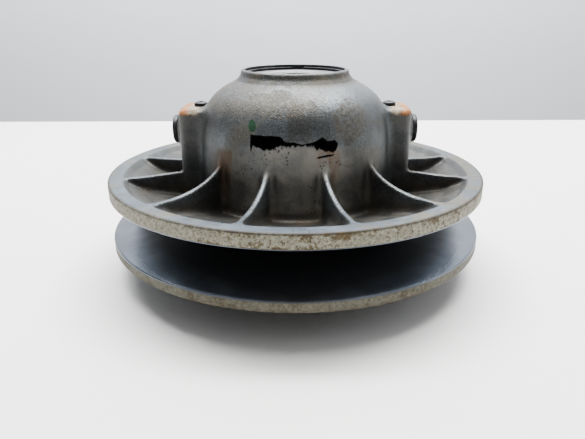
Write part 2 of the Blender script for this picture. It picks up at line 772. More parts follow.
def casting_material(name, dome=True):
    k = Mat(name)
    r = k.radius()
    cav, conv = k.attr("cavity"), k.attr("convex")
    big = k.noise(22.0, 3.0, 0.55, dist=0.4)
    mid = k.noise(75.0, 5.0, 0.62, dist=0.3)
    fine = k.noise(420.0, 5.0, 0.62)
    grit = k.noise(1500.0, 3.0, 0.6)
    streak = k.noise(60.0, 5.0, 0.6, vec=k.warp(1.0, 1.0, 0.12), dist=0.2)

    def inv(v):
        return k.math("SUBTRACT", 1.0, v, clamp=True)

    ax = k.math("ABSOLUTE", k.x)
    ay = k.math("ABSOLUTE", k.y)
    # zones
    if dome:
        top = k.mul(k.band(k.z, 0.06345, 0.06395, 0.00008), k.step(r, 0.090, 0.096))
        face = k.step(k.math("SUBTRACT", k.z, k.math("MULTIPLY_ADD", r, TAN, (RIM_LOW - R * TAN) * MM)), 0.0011, 0.0006)
    else:
        top = k.mul(k.band(k.z, 0.0210, 0.02145, 0.0001), k.step(r, 0.104, 0.110))
        face = k.step(k.math("ADD", k.math("SUBTRACT", k.z, (FIX_TOP + R * TAN) * MM), k.mul(r, TAN)), -0.0011, -0.0006)
    face = k.mul(face, k.step(r, 0.060, 0.0615))
    side = k.mul(k.step(r, 0.1190, 0.1196), inv(face))
    skin = inv(k.math("MAXIMUM", k.math("MAXIMUM", side, face), top))
    # cast skin: dull grey with cleaner and darker clouds
    base = k.mix(k.step(big, 0.36, 0.62), (0.120, 0.126, 0.128), (0.185, 0.200, 0.212))
    base = k.mix(k.mul(k.step(streak, 0.50, 0.66), 0.55), base, (0.105, 0.103, 0.095))
    base = k.mix(k.mul(k.step(mid, 0.54, 0.76), 0.45), base, (0.25, 0.262, 0.272))
    # pale speckle left by dried dirt
    speck = k.mul(k.step(fine, 0.60, 0.70), k.step(mid, 0.44, 0.62))
    base = k.mix(k.mul(speck, 0.55), base, (0.33, 0.315, 0.26))
    # grain of the sand-cast skin
    gr = k.noise(1000.0, 3.0, 0.75)
    base = k.mix(k.mul(k.step(gr, 0.50, 0.36), 0.55), base, (0.055, 0.052, 0.046))
    base = k.mix(k.mul(k.step(gr, 0.54, 0.68), 0.45), base, (0.34, 0.345, 0.33))
    grime_n = k.add(k.mul(big, 0.40), k.mul(mid, 0.36), k.mul(fine, 0.14), k.mul(gr, 0.10))
    if dome:
        # brown stain: upper dome and shoulders, heavier towards the left, less on the middle of the front
        shoulder = k.band(k.z, 0.1045, 0.1235, 0.005)
        mx = k.math("DIVIDE", k.add(k.x, 0.001), 0.024)
        mz = k.math("DIVIDE", k.math("SUBTRACT", k.z, 0.0945), 0.0105)
        clean = k.step(k.add(k.mul(mx, mx), k.mul(mz, mz), k.mul(k.math("SUBTRACT", mid, 0.5), 1.6)), 1.25, 0.75)
        lean = k.mul(k.x, -2.2)
        bx = k.math("DIVIDE", k.add(k.x, 0.010), 0.020)
        bz = k.math("DIVIDE", k.math("SUBTRACT", k.z, 0.1115), 0.0065)
        patch = k.step(k.add(k.mul(bx, bx), k.mul(bz, bz), k.mul(k.math("SUBTRACT", mid, 0.5), 3.2)), 1.20, 0.80)
        cx = k.math("DIVIDE", k.add(k.x, -0.031), 0.010)
        cz = k.math("DIVIDE", k.math("SUBTRACT", k.z, 0.1020), 0.0110)
        patch2 = k.step(k.add(k.mul(cx, cx), k.mul(cz, cz), k.mul(k.math("SUBTRACT", mid, 0.5), 2.6)), 1.35, 0.65)
        patch = k.mul(k.math("MAXIMUM", patch, patch2), k.step(k.y, 0.0, -0.01), k.step(k.add(k.mul(gr, 0.5), k.mul(fine, 0.5)), 0.40, 0.54))
        stain = k.mul(shoulder, k.step(k.add(grime_n, lean), 0.47, 0.60), 0.8)
        stain = k.math("MAXIMUM", stain, patch)
        belt_line = k.mul(k.band(k.z, 0.084, 0.104, 0.006), k.step(grime_n, 0.51, 0.60), 0.75)
        neck = k.mul(k.band(k.z, 0.1195, 0.1262, 0.0012), k.step(r, 0.0325, 0.0330), k.step(grime_n, 0.36, 0.56))
        grime = k.math("MAXIMUM", k.mul(k.math("MAXIMUM", stain, belt_line), inv(k.mul(clean, 0.85))), neck)
        # the bays between the ribs stay dark, with rusty runs
        bay_z = k.add(k.z, k.mul(k.math("SUBTRACT", mid, 0.5), 0.006), k.mul(ax, ax, 3.0))
        bay = k.mul(k.step(bay_z, 0.0935, 0.0885), k.step(k.z, 0.0430, 0.0440), k.step(r, 0.0675, 0.0640), skin)
        bay = k.mul(bay, inv(k.mul(k.step(conv, 0.25, 0.8), 0.9)), k.step(ax, 0.0530, 0.0480))
    else:
        grime = k.mul(k.step(grime_n, 0.44, 0.62), 0.8)
        bay = k.mul(k.step(k.z, 0.0300, 0.0240), skin)
    grime = k.math("MULTIPLY", grime, skin, clamp=True)
    brown = k.mix(k.step(mid, 0.40, 0.62), (0.034, 0.026, 0.017), (0.100, 0.084, 0.060))
    base = k.mix(k.mul(grime, 0.80), base, brown)
    base = k.mix(k.mul(grime, k.step(gr, 0.52, 0.64), 0.34), base, (0.33, 0.31, 0.25))
    if dome:
        well = k.mul(k.step(k.add(k.z, k.mul(k.math("SUBTRACT", mid, 0.5), 0.010)), 0.0660, 0.0560), skin, k.step(r, 0.0620, 0.0660))
        base = k.mix(k.mul(well, 0.80), base, k.mix(k.step(mid, 0.42, 0.60), (0.026, 0.024, 0.020), (0.070, 0.063, 0.050)))
    run = k.mul(k.step(k.noise(38.0, 5.0, 0.6, vec=k.warp(1.0, 1.0, 0.25), dist=0.3), 0.54, 0.66), bay)
    bayc = k.mix(k.step(mid, 0.38, 0.62), (0.075, 0.072, 0.067), (0.160, 0.150, 0.132))
    bayc = k.mix(k.mul(k.step(streak, 0.52, 0.66), 0.5), bayc, (0.150, 0.143, 0.125))
    bayc = k.mix(k.mul(run, 0.75), bayc, (0.090, 0.048, 0.022))
    base = k.mix(k.mul(bay, 0.80), base, bayc)
    # dirt packed into the corners
    dirt = k.math("MULTIPLY", k.step(k.add(cav, k.mul(k.math("SUBTRACT", mid, 0.5), 0.22)), 0.10, 0.34), inv(top), clamp=True)
    dirt = k.mul(dirt, inv(k.mul(k.math("MAXIMUM", side, face), 1.0)))
    base = k.mix(k.mul(dirt, 0.85), base, k.mix(k.step(mid, 0.45, 0.66), (0.022, 0.020, 0.018), (0.060, 0.048, 0.034)))
    # rubbed edges
    edge = k.math("MULTIPLY", k.step(conv, 0.50, 0.95), k.step(mid, 0.28, 0.52), clamp=True)
    edge = k.mul(edge, inv(k.mul(dirt, 0.7)))
    base = k.mix(k.mul(edge, 0.30), base, (0.26, 0.285, 0.30))
    # turned rim top
    topc = k.mix(k.step(k.noise(120.0, 5.0, 0.65), 0.35, 0.7), (0.115, 0.134, 0.155), (0.195, 0.220, 0.245))
    tan_n = k.add(k.mul(k.noise(38.0, 5.0, 0.7, dist=0.6), 0.8), k.mul(fine, 0.2), k.mul(k.x, 0.35))
    topc = k.mix(k.mul(k.step(tan_n, 0.48, 0.60), 0.72), topc, (0.185, 0.160, 0.110))
    topc = k.mix(k.mul(k.step(mid, 0.46, 0.30), 0.55), topc, (0.085, 0.080, 0.066))
    line = k.mul(k.step(r, 0.1180, 0.1194), k.step(k.z, (RIM_TOP if dome else FIX_TOP) * MM - 0.0016, (RIM_TOP if dome else FIX_TOP) * MM - 0.0005))
    topc = k.mix(k.mul(k.step(gr, 0.42, 0.30), 0.7), topc, (0.06, 0.055, 0.05))
    base = k.mix(top, base, topc)
    # corroded rim edge
    m1 = k.noise(120.0, 7.0, 0.78, vec=k.warp(1.0, 1.0, 1.7), dist=0.8)
    m2 = k.noise(520.0, 4.0, 0.7)
    m3 = k.noise(34.0, 4.0, 0.6)
    mids = (RIM_TOP + RIM_LOW) / 2 * MM if dome else (FIX_TOP + FIX_LOW) / 2 * MM
    vz = k.math("DIVIDE", k.math("ABSOLUTE", k.math("SUBTRACT", k.z, mids)), 0.0045 if dome else 0.0032)
    m4 = k.noise(13.0, 3.0, 0.6)
    sel = k.add(k.mul(m1, 0.34), k.mul(m2, 0.16), k.mul(m3, 0.20), k.mul(m4, 0.30), k.mul(vz, vz, vz, -0.055), k.mul(k.x, -0.25), 0.03)
    sidec = k.mix(k.step(sel, 0.475, 0.525), (0.120, 0.088, 0.046), (0.33, 0.315, 0.250))
    sidec = k.mix(k.mul(k.step(m2, 0.49, 0.60), k.step(sel, 0.46, 0.53), 0.65), sidec, (0.52, 0.505, 0.43))
    sidec = k.mix(k.mul(k.step(gr, 0.48, 0.36), 0.70), sidec, (0.085, 0.068, 0.042))
    sidec = k.mix(k.mul(k.step(m2, 0.44, 0.36), 0.75), sidec, (0.055, 0.043, 0.028))
    if not dome:
        sidec = k.mix(0.62, sidec, (0.050, 0.046, 0.030))
    base = k.mix(side, base, sidec)
    base = k.mix(k.mul(line, k.step(m1, 0.32, 0.50), 0.8), base, (0.045, 0.040, 0.034))
    # belt face: turned rings polished by the belt, dusty towards the hub
    wav = k.nt.nodes.new("ShaderNodeTexWave")
    wav.wave_type = "RINGS"
    wav.rings_direction = "Z"
    k.nt.links.new(k.obj, wav.inputs["Vector"])
    wav.inputs["Scale"].default_value = 620.0
    wav.inputs["Distortion"].default_value = 0.6
    wav.inputs["Detail"].default_value = 2.0
    facec = k.mix(k.step(k.noise(30.0, 4.0, 0.6), 0.35, 0.68), (0.22, 0.245, 0.280), (0.32, 0.345, 0.385))
    dust = k.math("MULTIPLY", k.step(k.add(r, k.mul(ax, 0.24), -0.0144, k.mul(k.math("SUBTRACT", mid, 0.5), 0.008)), 0.1225, 0.1000), 0.94)
    facec = k.mix(dust, facec, (0.016, 0.016, 0.017))
    base = k.mix(face, base, facec)
    # small dark casting pits
    wob = k.mul(k.math("SUBTRACT", k.noise(900.0, 3.0, 0.7), 0.5), 0.30)
    dist, _ = k.cells(430.0)
    pit = k.mul(k.step(k.add(dist, wob), 0.26, 0.17), k.step(k.noise(48.0, 3.0, 0.6), 0.52, 0.60))
    dist2, _ = k.cells(820.0)
    pit2 = k.mul(k.step(k.add(dist2, wob), 0.26, 0.15), k.step(k.noise(30.0, 2.0, 0.6), 0.52, 0.62))
    pits = k.math("MULTIPLY", k.math("MAXIMUM", pit, pit2), inv(k.math("MAXIMUM", face, side)))
    base = k.mix(k.mul(pits, 0.88), base, (0.018, 0.016, 0.014))
    hs = k.nt.nodes.new("ShaderNodeHueSaturation")
    hs.inputs["Saturation"].default_value = 1.35
    k.put(hs.inputs["Value"], k.fmix(k.math("MAXIMUM", bay, dirt), 0.54, k.fmix(k.step(ax, 0.020, 0.034), 1.50, 0.70)))
    k.put(hs.inputs["Color"], base)
    base = hs.outputs[0]
    not_metal = k.math("MAXIMUM", k.mul(grime, 0.60), k.mul(dirt, 0.8))
    not_metal = k.math("MAXIMUM", not_metal, k.mul(bay, 0.35))
    if dome:
        not_metal = k.math("MAXIMUM", not_metal, k.mul(well, 0.6))
    not_metal = k.math("MAXIMUM", not_metal, k.mul(side, 0.85))
    not_metal = k.math("MAXIMUM", not_metal, k.mul(line, 0.95))
    not_metal = k.math("MAXIMUM", not_metal, k.mul(pits, 0.9))
    not_metal = k.math("MAXIMUM", not_metal, k.mul(dust, face))
    metal = k.math("SUBTRACT", 0.80, k.mul(not_metal, 0.9), clamp=True)
    metal = k.fmix(k.mul(top, inv(line)), k.fmix(k.mul(face, inv(dust)), metal, 0.95), 0.62)
    rough = k.add(0.415, k.mul(k.math("SUBTRACT", mid, 0.5), 0.28), k.mul(grime, 0.14), k.mul(dirt, 0.22), k.mul(bay, 0.06))
    rough = k.fmix(top, rough, 0.50)
    rough = k.fmix(line, rough, 0.7)
    rough = k.fmix(side, rough, 0.66)
    rough = k.fmix(face, rough, k.add(0.27, k.mul(dust, 0.3)))
    h = k.add(k.mul(fine, 1.2), k.mul(gr, 1.3), k.mul(grit, 0.35), k.mul(mid, 1.8), k.mul(pits, -1.4), k.mul(grime, k.mul(grit, 0.5)))
    h = k.fmix(top, h, k.add(0.9, k.mul(fine, 0.22), k.mul(gr, 0.12), k.mul(pits, -0.9)))
    h = k.fmix(side, h, k.add(k.mul(m1, 1.3), k.mul(m2, 1.4)))
    h = k.fmix(face, h, k.add(0.9, k.mul(wav.outputs["Fac"], 0.05)))
    if dome:
        # lugs: darker flanks, pale dusty tops with rust at the outer corners
        lug = k.mul(k.step(ax, 0.0575, 0.0620), k.step(ay, 0.0200, 0.0185), k.step(k.z, 0.0645, 0.0665), k.step(r, 0.0790, 0.0775))
        lugtop = k.mul(k.step(k.add(k.z, k.mul(k.math("SUBTRACT", mid, 0.5), 0.004)), 0.1000, 0.1020), lug)
        base = k.mix(k.mul(lug, 0.75), base, k.mix(k.step(mid, 0.4, 0.65), (0.030, 0.031, 0.031), (0.075, 0.074, 0.070)))
        tanc = k.mix(k.step(fine, 0.42, 0.60), (0.16, 0.118, 0.072), (0.33, 0.275, 0.20))
        rust = k.step(k.add(ax, k.mul(k.math("SUBTRACT", mid, 0.5), 0.014)), 0.0655, 0.0700)
        tanc = k.mix(k.mul(rust, 0.9), tanc, k.mix(k.step(fine, 0.4, 0.6), (0.22, 0.062, 0.010), (0.38, 0.145, 0.035)))
        base = k.mix(k.mul(lugtop, 0.92), base, tanc)
        metal = k.mul(metal, inv(k.math("MAXIMUM", lugtop, k.mul(lug, 0.6))))
        rough = k.fmix(lugtop, rough, 0.75)
        # two old paint marks: a black smear across the front and a green dab
        front = k.step(k.y, -0.035, -0.045)
        tx = k.math("DIVIDE", k.add(k.x, 0.030), 0.060)
        jag = k.mul(k.math("SUBTRACT", k.noise(300.0, 6.0, 0.8, vec=k.warp(1.8, 1.0, 0.6)), 0.5), 0.0075)
        jag2 = k.mul(k.math("SUBTRACT", k.noise(260.0, 5.0, 0.7), 0.5), 0.0020)
        hi = k.curve(tx, [(0.0, 0.0), (0.073, 0.0), (0.080, 0.93), (0.355, 0.94), (0.40, 0.70), (0.50, 0.64), (0.56, 0.58), (0.66, 0.62),
                          (0.745, 0.86), (0.79, 0.68), (0.86, 0.70), (0.905, 0.46), (0.91, 0.0), (1.0, 0.0)])
        lo = k.curve(tx, [(0.0, 1.0), (0.073, 1.0), (0.080, 0.02), (0.092, 0.18), (0.098, 0.38), (0.15, 0.36), (0.20, 0.22), (0.27, 0.30),
                          (0.36, 0.44), (0.50, 0.46), (0.62, 0.46), (0.72, 0.30), (0.80, 0.12), (0.855, 0.10), (0.89, 0.30), (0.905, 1.0),
                          (1.0, 1.0)])
        zt = k.math("DIVIDE", k.math("SUBTRACT", k.add(k.z, jag2), 0.0855), 0.0115)
        zb = k.math("DIVIDE", k.math("SUBTRACT", k.add(k.z, jag), 0.0855), 0.0115)
        smear = k.mul(k.step(k.math("SUBTRACT", hi, zt), -0.03, 0.04), k.step(k.math("SUBTRACT", zb, lo), -0.03, 0.04), front)
        sx = k.math("DIVIDE", k.math("SUBTRACT", k.x, 0.0168), 0.0052)
        sz = k.math("DIVIDE", k.math("SUBTRACT", k.add(k.z, jag2, k.mul(k.x, -0.12)), 0.0828), 0.00065)
        lick = k.step(k.add(k.mul(sx, sx), k.mul(sz, sz)), 1.15, 0.85)
        smear = k.math("MAXIMUM", smear, k.mul(lick, front), clamp=True)
        gx = k.math("DIVIDE", k.math("SUBTRACT", k.add(k.x, jag2), -0.0241), 0.0023)
        gz = k.math("DIVIDE", k.math("SUBTRACT", k.add(k.z, jag2), 0.1009), 0.0033)
        dab = k.mul(k.step(k.add(k.mul(gx, gx), k.mul(gz, gz)), 1.15, 0.80), front)
        hx, hy = k.math("SUBTRACT", k.x, 0.0870), k.math("ADD", k.y, 0.0080)
        hole = k.step(k.add(k.mul(hx, hx), k.mul(hy, hy)), 0.0016 ** 2 * 1.2, 0.0016 ** 2 * 0.8)
        base = k.mix(k.mul(hole, 0.97), base, (0.004, 0.004, 0.004))
        base = k.mix(smear, base, (0.0010, 0.0010, 0.0012))
        base = k.mix(k.mul(dab, 0.97), base, (0.001, 0.033, 0.010))
        paint = k.math("MAXIMUM", smear, dab)
        metal = k.math("MAXIMUM", k.mul(metal, inv(paint)), smear)
        rough = k.fmix(paint, rough, 0.62)
    return k.end(base, rough, metal, h, dist=0.00016, strength=0.9, spec=0.3)


def steel_material(name, light=(0.50, 0.50, 0.50), dark=(0.22, 0.21, 0.20), rough=0.30, stain=0.4, turned=0.06, metal=0.95):
    k = Mat(name)
    n1 = k.noise(60.0, 5.0, 0.6, dist=0.4)
    n2 = k.noise(600.0, 4.0, 0.6)
    c = k.mix(k.mul(k.step(n1, 0.42, 0.68), stain), light, dark)
    c = k.mix(k.mul(k.step(n2, 0.60, 0.75), 0.4), c, tuple(v * 0.5 for v in dark))
    ro = k.add(rough, k.mul(k.math("SUBTRACT", n1, 0.5), 0.3), k.mul(n2, 0.08))
    w = k.nt.nodes.new("ShaderNodeTexWave")
    w.wave_type = "BANDS"
    w.bands_direction = "Z"
    k.nt.links.new(k.obj, w.inputs["Vector"])
    w.inputs["Scale"].default_value = 500.0
    w.inputs["Distortion"].default_value = 1.0
    h = k.add(k.mul(w.outputs["Fac"], turned), k.mul(n2, 0.25))
    return k.end(c, ro, metal, h, dist=0.00008)


def black_material(name, rust=0.25):
    k = Mat(name)
    n1 = k.noise(140.0, 5.0, 0.65, dist=0.3)
    n2 = k.noise(900.0, 4.0, 0.6)
    conv = k.step(k.noise(300.0, 3.0, 0.6), 0.55, 0.7)
    c = k.mix(k.step(n1, 0.35, 0.7), (0.012, 0.012, 0.013), (0.035, 0.036, 0.040))
    c = k.mix(k.mul(k.step(n1, 0.58, 0.70), rust), c, (0.12, 0.055, 0.025))
    c = k.mix(k.mul(conv, 0.18), c, (0.12, 0.12, 0.125))
    return k.end(c, k.add(0.34, k.mul(n1, 0.22)), k.fmix(k.step(n1, 0.5, 0.65), 0.7, 0.4), k.add(k.mul(n1, 0.5), k.mul(n2, 0.3)),
                 dist=0.00012)


def plastic_material(name, a, b, rough=0.5):
    k = Mat(name)
    n1 = k.noise(90.0, 4.0, 0.6)
    n2 = k.noise(1100.0, 3.0, 0.6)
    c = k.mix(k.step(n1, 0.4, 0.65), a, b)
    c = k.mix(k.mul(k.step(k.noise(45.0, 5.0, 0.7), 0.55, 0.7), 0.5), c, tuple(v * 0.35 for v in a))
    return k.end(c, k.add(rough, k.mul(n1, 0.12)), 0.0, k.add(k.mul(n2, 0.4), k.mul(n1, 0.4)), dist=0.0001)


DOME_MAT = casting_material("dome_casting_worn", True)
FIXED_MAT = casting_material("fixed_casting_worn", False)
STEEL_MAT = steel_material("turned_steel")
POST_MAT = steel_material("post_steel", (0.46, 0.45, 0.44), (0.20, 0.16, 0.12), 0.28, 0.5)
CAM_MAT = steel_material("cam_alloy_worn", (0.42, 0.43, 0.43), (0.24, 0.23, 0.21), 0.34, 0.5)
ZINC_MAT = steel_material("zinc_plate_worn", (0.17, 0.165, 0.175), (0.10, 0.095, 0.095), 0.42, 0.6, 0.02, 0.8)
SPRING_MAT = steel_material("spring_oiled", (0.085, 0.095, 0.13), (0.05, 0.04, 0.035), 0.30, 0.6, 0.0, 0.8)
BRONZE_MAT = steel_material("bronze_worn", (0.52, 0.36, 0.17), (0.30, 0.19, 0.09), 0.32, 0.5)
BLACK_MAT = black_material("black_oxide")
NYLON_MAT = plastic_material("nylon_used", (0.60, 0.56, 0.45), (0.46, 0.41, 0.31), 0.42)
ROLLER_MAT = plastic_material("roller_used", (0.20, 0.18, 0.15), (0.13, 0.11, 0.09), 0.38)
RUBBER_MAT = plastic_material("rubber_used", (0.020, 0.020, 0.021), (0.032, 0.031, 0.030), 0.62)


def give(ob, mat, body, nodes=()):
    ob.data.materials.clear()
    ob.data.materials.append(mat)
    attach(ob, body)
    if nodes:
        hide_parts(*nodes)
    return ob


give(sheave, DOME_MAT, "moving_half", ["moveable_sheave"])
give(fixed, FIXED_MAT, "fixed_half", ["fixed_sheave"])

# ------------------------------------------------------- turned small pieces
give(lathe("lower_bush_fine", [(14.8, 60.0, 0.4), (16.8, 60.0, 0.4), (16.8, 46.0, 0.4), (14.8, 46.0, 0.4)], 96),
     BRONZE_MAT, "moving_half", ["lower_bush"])
give(lathe("upper_bush_fine", [(14.8, 85.6, 0.4), (16.8, 85.6, 0.4), (16.8, 71.6, 0.4), (14.8, 71.6, 0.4)], 96),
     BRONZE_MAT, "moving_half", ["upper_bush"])
give(lathe("hub_seal_fine", [(14.8, 45.6, 0.2), (16.8, 45.6, 0.3), (16.8, 42.4, 0.3), (15.6, 42.4, 0.3), (15.3, 43.8, 0.3),
                             (14.8, 43.2, 0.2)], 96), RUBBER_MAT, "moving_half", ["hub_seal"])
give(lathe("thrust_disc_fine", [(21.8, 50.3, 0.3), (29.0, 50.3, 0.3), (29.0, 48.3, 0.3), (21.8, 48.3, 0.3)], 96),
     NYLON_MAT, "moving_half", ["thrust_disc"])
give(lathe("spring_lower_seat_fine", [(21.8, 52.6, 0.3), (28.2, 52.6, 0.3), (28.2, 50.6, 0.3), (21.8, 50.6, 0.3)], 96),
     STEEL_MAT, "thrust_carrier", ["spring_lower_seat"])
give(lathe("spring_upper_seat_fine", [(21.8, 110.7, 0.3), (28.2, 110.7, 0.3), (28.2, 108.6, 0.3), (21.8, 108.6, 0.3)], 96),
     STEEL_MAT, "fixed_half", ["spring_upper_seat"])
give(lathe("cover_seal_fine", [(28.9, 121.0, 0.8), (31.2, 121.0, 0.8), (31.2, 119.3, 0.8), (28.9, 119.3, 0.8)], 128),
     RUBBER_MAT, "moving_half", ["cover_seal"])
give(lathe("end_cover_fine", [(9.5, 123.5, 0.6), (12.5, 123.5, 0.8), (13.4, 122.9, 0.8), (22.5, 122.9, 0.8), (23.6, 123.5, 0.8),
                              (31.2, 123.5, 0.5), (31.2, 121.3, 0.3), (9.5, 121.3, 0.3)], 128),
     ZINC_MAT, "moving_half", ["end_cover"])


def sweep_ring(name, section, a0, a1, n, z_of=None, r_shift=None):
    """A closed section (r, z) swept from angle a0 to a1 with flat ends."""
    m = len(section)
    V = []
    for i in range(n + 1):
        a = a0 + (a1 - a0) * i / n
        dr = r_shift(i / n) if r_shift else 0.0
        for r, z in section:
            V.append(((r + dr * (1 if r < 31 else 0)) * math.cos(a), (r + dr * (1 if r < 31 else 0)) * math.sin(a), z))
    F = []
    for i in range(n):
        for j in range(m):
            F.append((i * m + j, i * m + (j + 1) % m, (i + 1) * m + (j + 1) % m, (i + 1) * m + j))
    me = bpy.data.meshes.new(name)
    me.from_pydata([tuple(c * MM for c in v) for v in V], [], F + [tuple(range(m)), tuple(range(n * m, n * m + m))])
    me.shade_smooth()
    me.set_sharp_from_angle(angle=D(40))
    ob = bpy.data.objects.new(name, me)
    bpy.context.scene.collection.objects.link(ob)
    orient(ob)
    return ob


snap_sec = round_outline([(29.4, 125.1, 0.3), (32.3, 125.1, 0.3), (32.3, 124.1, 0.3), (29.4, 124.1, 0.3)])
give(sweep_ring("cover_snap_ring_fine", snap_sec, D(86 + 8), D(86 - 8 + 360), 200),
     BLACK_MAT, "moving_half", ["cover_snap_ring"])
clip_sec = round_outline([(13.3, 117.6, 0.25), (17.2, 117.6, 0.25), (17.2, 116.2, 0.25), (13.3, 116.2, 0.25)])
give(sweep_ring("cam_circlip_fine", clip_sec, D(25), D(335), 120),
     BLACK_MAT, "fixed_half", ["cam_circlip"])


def turned_x(name, profile, side, n=64, z0=PIN_Z):
    """Turned solid about the radial pin axis; outline of (distance, radius[, fillet])."""
    prof = [(d, r) for d, r in round_outline([(p[0], p[1]) + tuple(p[2:]) for p in profile])]
    V, F = [], []
    ang = np.arange(n) * math.tau / n
    for d, r in prof:
        V.append(np.stack([np.full(n, side * d), r * np.cos(ang), z0 + r * np.sin(ang)], 1))
    V = np.concatenate(V)
    for i in range(len(prof)):
        F.append(ring_quads(i * n, ((i + 1) % len(prof)) * n, n))
    ob = mesh_object(name, V, np.concatenate(F), sharp=35)
    bm = bmesh.new()
    bm.from_mesh(ob.data)
    bmesh.ops.remove_doubles(bm, verts=bm.verts, dist=1e-7)
    bmesh.ops.recalc_face_normals(bm, faces=bm.faces)
    bm.to_mesh(ob.data)
    bm.free()
    return ob


def disc_solid(name, profile, n, x=0.0, y=0.0, sharp=35, socket=None, along=None):
    """Turned solid with closed ends from an open (r, z) outline; optional hex socket cut by rings."""
    prof = []
    pts = [(profile[0][0], profile[0][1])] + list(profile[1:-1]) + [(profile[-1][0], profile[-1][1])]
    prof = [tuple(p) for p in fillet_path(pts)]
    bm = bmesh.new()
    rings = []
    for r, z in prof:
        if r < 1e-6:
            rings.append([bm.verts.new((0, 0, z))])
        else:
            rings.append([bm.verts.new((r * math.cos(math.tau * i / n), r * math.sin(math.tau * i / n), z)) for i in range(n)])
    for a, b in zip(rings, rings[1:]):
        if len(a) == 1 and len(b) == 1:
            continue
        for i in range(n):
            j = (i + 1) % n
            if len(a) == 1:
                bm.faces.new((a[0], b[i], b[j]))
            elif len(b) == 1:
                bm.faces.new((a[i], a[j], b[0]))
            else:
                bm.faces.new((a[i], a[j], b[j], b[i]))
    bmesh.ops.recalc_face_normals(bm, faces=bm.faces)
    if along is not None:
        bmesh.ops.transform(bm, matrix=along, verts=bm.verts)
    bmesh.ops.translate(bm, verts=bm.verts, vec=(x, y, 0))
    bmesh.ops.scale(bm, verts=bm.verts, vec=(MM, MM, MM))
    me = bpy.data.meshes.new(name)
    bm.to_mesh(me)
    bm.free()
    me.shade_smooth()
    me.set_sharp_from_angle(angle=D(sharp))
    ob = bpy.data.objects.new(name, me)
    bpy.context.scene.collection.objects.link(ob)
    return ob


def cut(ob, cutter):
    """Apply a Boolean difference and drop the cutter."""
    m = ob.modifiers.new("cut", "BOOLEAN")
    m.operation = "DIFFERENCE"
    m.solver = "EXACT"
    m.object = cutter
    dg = bpy.context.evaluated_depsgraph_get()
    dg.update()
    me = bpy.data.meshes.new_from_object(ob.evaluated_get(dg))
    ob.modifiers.remove(m)
    old = ob.data
    ob.data = me
    bpy.data.meshes.remove(old)
    bpy.data.objects.remove(cutter, do_unlink=True)
    ob.data.shade_smooth()
    ob.data.set_sharp_from_angle(angle=D(35))


def hex_prism(name, af, z0, z1, x=0.0, y=0.0, along=None, n=6):
    r = af / math.sqrt(3) if n == 6 else af
    bm = bmesh.new()
    low = [bm.verts.new((r * math.cos(math.tau * i / n), r * math.sin(math.tau * i / n), z0)) for i in range(n)]
    f = bm.faces.new(low)
    out = bmesh.ops.extrude_face_region(bm, geom=[f])
    bmesh.ops.translate(bm, verts=[v for v in out["geom"] if isinstance(v, bmesh.types.BMVert)], vec=(0, 0, z1 - z0))
    bmesh.ops.recalc_face_normals(bm, faces=bm.faces)
    if along is not None:
        bmesh.ops.transform(bm, matrix=along, verts=bm.verts)
    bmesh.ops.translate(bm, verts=bm.verts, vec=(x, y, 0))
    bmesh.ops.scale(bm, verts=bm.verts, vec=(MM, MM, MM))
    me = bpy.data.meshes.new(name)
    bm.to_mesh(me)
    bm.free()
    ob = bpy.data.objects.new(name, me)
    bpy.context.scene.collection.objects.link(ob)
    return ob


for name, s in (("right", 1), ("left", -1)):
    along = Matrix.Translation((0, 0, PIN_Z)) @ Matrix.Rotation(s * math.pi / 2, 4, "Y")
    pin = disc_solid("roller_pin_%s_fine" % name,
                     [(0, 29.6), (4.5, 29.6, 0.5), (4.5, 39.5, 0.3), (6.0, 39.5, 0.5), (6.0, 75.35, 0.2), (9.0, 75.35, 0.4),
                      (9.0, 77.6, 0.9), (8.2, 78.4, 0.7), (0, 78.4)], 64, along=along)
    cut(pin, hex_prism("hex", 6.0, 76.0, 80.0, along=along))
    give(pin, BLACK_MAT, "moving_half", ["roller_pin_" + name])
    give(turned_x("roller_%s_fine" % name, [(37.8, 4.8, 0.3), (37.8, 7.0, 0.8), (30.2, 7.0, 0.8), (30.2, 4.8, 0.3)], s),
         ROLLER_MAT, "roller_%s_body" % name, ["roller_" + name])
    give(turned_x("roller_washer_%s_fine" % name, [(39.1, 4.8, 0.2), (39.1, 6.4, 0.2), (38.1, 6.4, 0.2), (38.1, 4.8, 0.2)], s),
         STEEL_MAT, "moving_half", ["roller_washer_" + name])
    lock = disc_solid("pin_lock_screw_%s_fine" % name,
                      [(0, 106.6), (2.4, 106.55, 1.0), (4.1, 105.8, 1.0), (4.4, 104.1, 0.3), (2.5, 104.1, 0.3), (2.5, 97.6, 0.4),
                       (0, 97.4)], 48, x=s * 60.5)
    cut(lock, hex_prism("hex", 3.2, 105.0, 109.0, x=s * 60.5))
    give(lock, BLACK_MAT, "moving_half", ["pin_lock_screw_" + name])

for i in range(6):
    a = math.tau * i / 6
    x, y = 22.5 * math.cos(a), 22.5 * math.sin(a)
    sc = disc_solid("post_screw_%d_fine" % (i + 1),
                    [(0, 4.8), (2.4, 4.85, 1.5), (4.5, 5.7, 1.5), (5.0, 7.9, 0.4), (2.5, 7.9, 0.3), (2.5, 21.8, 0.4), (0, 22.0)],
                    40, x=x, y=y)
    cut(sc, hex_prism("hex", 3.2, 3.0, 6.6, x=x, y=y))
    give(sc, BLACK_MAT, "fixed_half", ["post_screw_%d" % (i + 1)])

